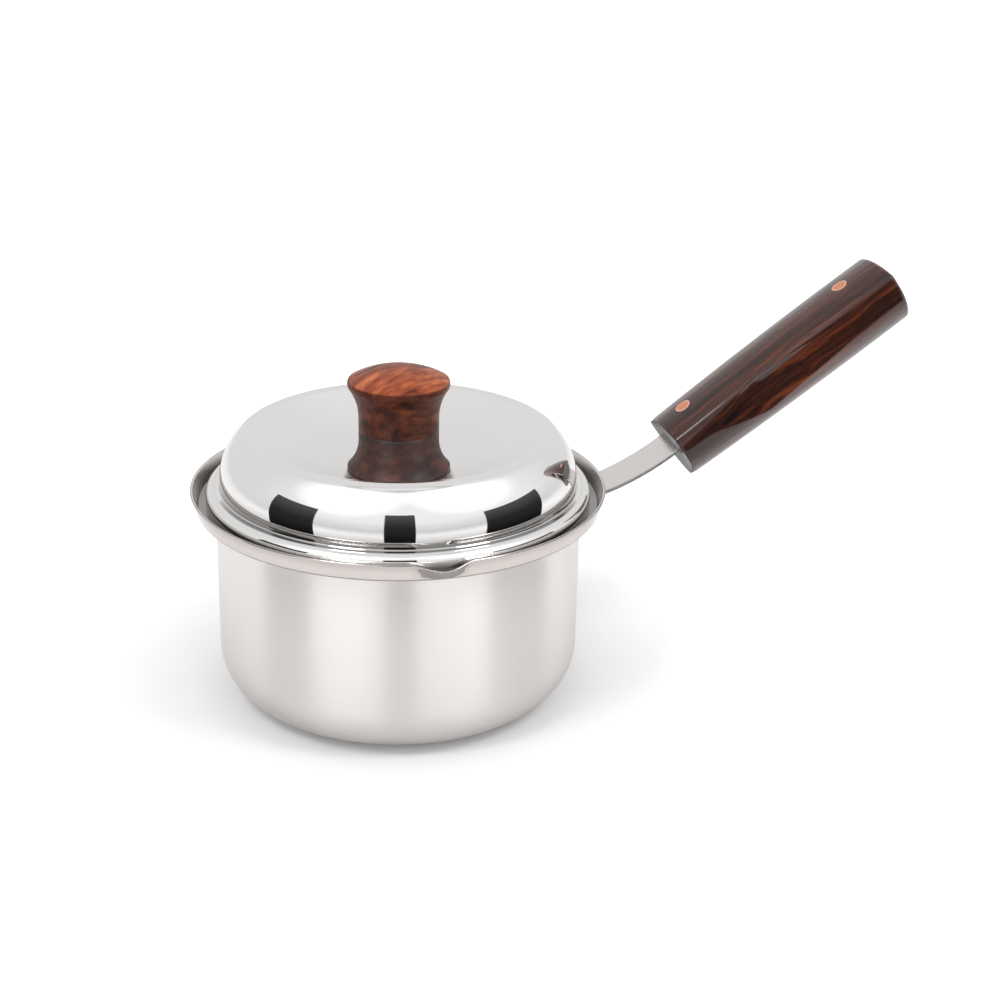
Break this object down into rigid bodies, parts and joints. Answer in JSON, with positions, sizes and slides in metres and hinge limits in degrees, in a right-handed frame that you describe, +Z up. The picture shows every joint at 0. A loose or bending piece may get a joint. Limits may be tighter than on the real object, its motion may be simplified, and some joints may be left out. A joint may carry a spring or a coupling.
{
  "type": "milk pan with lid",
  "caption": "Small milk pan of brushed steel with a pouring lip, a polished lid with a sunk centre and turned wooden knob, and a riveted rosewood handle on a steel tang",
  "frame": {"origin": "centre of the flat underside of the pan's base, on the axis of the pan", "axes": "+X from the axis towards the handle, +Y away from the pouring lip, which is at -Y, +Z up"},
  "size_m": [0.292, 0.1654, 0.1629],
  "materials": {
    "pan_steel": "satin brushed outside, polished rim",
    "lid_steel": "mirror polished steel",
    "satin_steel": "satin",
    "polished_steel": "polished",
    "grip_wood": "dark rosewood under clear lacquer",
    "knob_wood": "red rosewood under clear lacquer",
    "copper": "copper, ground flush",
    "insert_brass": "turned"
  },
  "bodies": {
    "pan": {"pan_body": "pan_steel", "handle_tang": "satin_steel", "handle_end_plate": "polished_steel", "handle_grip": "grip_wood", "front_rivet": "copper", "rear_rivet": "copper"},
    "lid": {"lid_shell": "lid_steel", "knob_lower": "knob_wood", "knob_ring": "polished_steel", "knob_upper": "knob_wood", "knob_insert": "insert_brass", "knob_screw": "satin_steel", "knob_washer": "satin_steel", "knob_lock_washer": "satin_steel"}
  },
  "joints": [
    {"name": "lid_lift", "type": "slide", "parent": "pan", "child": "lid", "axis": [0, 0, 1], "range_m": [0, 0.12]}
  ]
}
